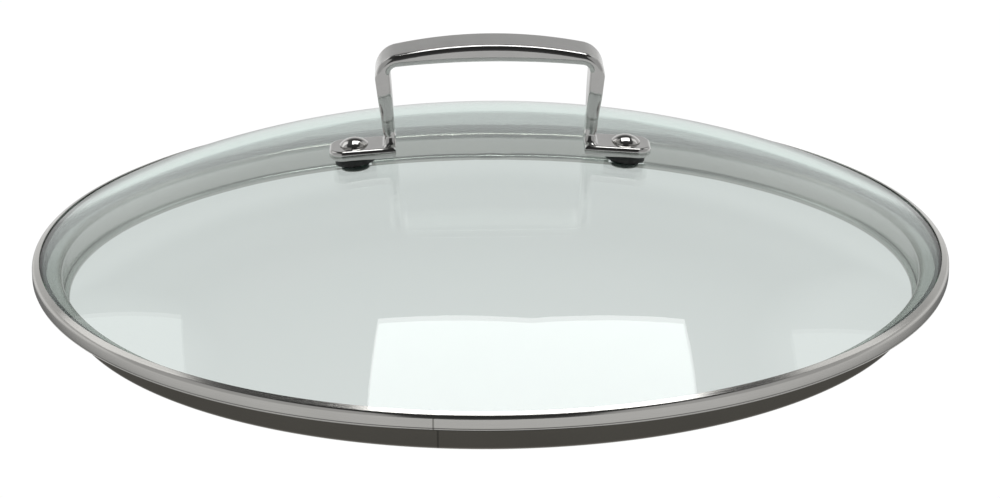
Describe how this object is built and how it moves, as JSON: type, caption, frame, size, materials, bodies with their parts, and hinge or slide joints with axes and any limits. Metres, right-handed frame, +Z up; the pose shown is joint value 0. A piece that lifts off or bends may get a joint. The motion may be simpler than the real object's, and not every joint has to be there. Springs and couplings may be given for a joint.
{
  "type": "glass pan lid",
  "caption": "Domed glass pan lid with a folded steel rim, a stepped skirt that drops into the pan's mouth and a riveted steel bow handle.",
  "frame": {"origin": "centre of the circle on which the bottom edge of the skirt stands", "axes": "+Z up through the top of the dome, X along the handle, Y through the finger gap, front at -Y"},
  "size_m": [0.2986, 0.2986, 0.0851],
  "materials": {
    "glass": "clear toughened glass, polished, very slightly green",
    "rim_steel": "polished stainless steel strip",
    "sealant_silicone": "grey translucent silicone, satin",
    "handle_steel": "polished cast stainless steel, satin on top of the bow",
    "rivet_steel": "mirror polished stainless steel",
    "gasket_silicone": "black silicone, matte",
    "washer_steel": "plain stamped stainless steel"
  },
  "bodies": {
    "root": {"glass_dome": "glass", "rim_band": "rim_steel", "rim_sealant": "sealant_silicone", "bow_handle": "handle_steel", "rivet_left": "rivet_steel", "rivet_right": "rivet_steel", "grommet_left": "gasket_silicone", "grommet_right": "gasket_silicone", "lower_gasket_left": "sealant_silicone", "lower_gasket_right": "sealant_silicone", "backing_washer_left": "washer_steel", "backing_washer_right": "washer_steel"}
  },
  "joints": []
}
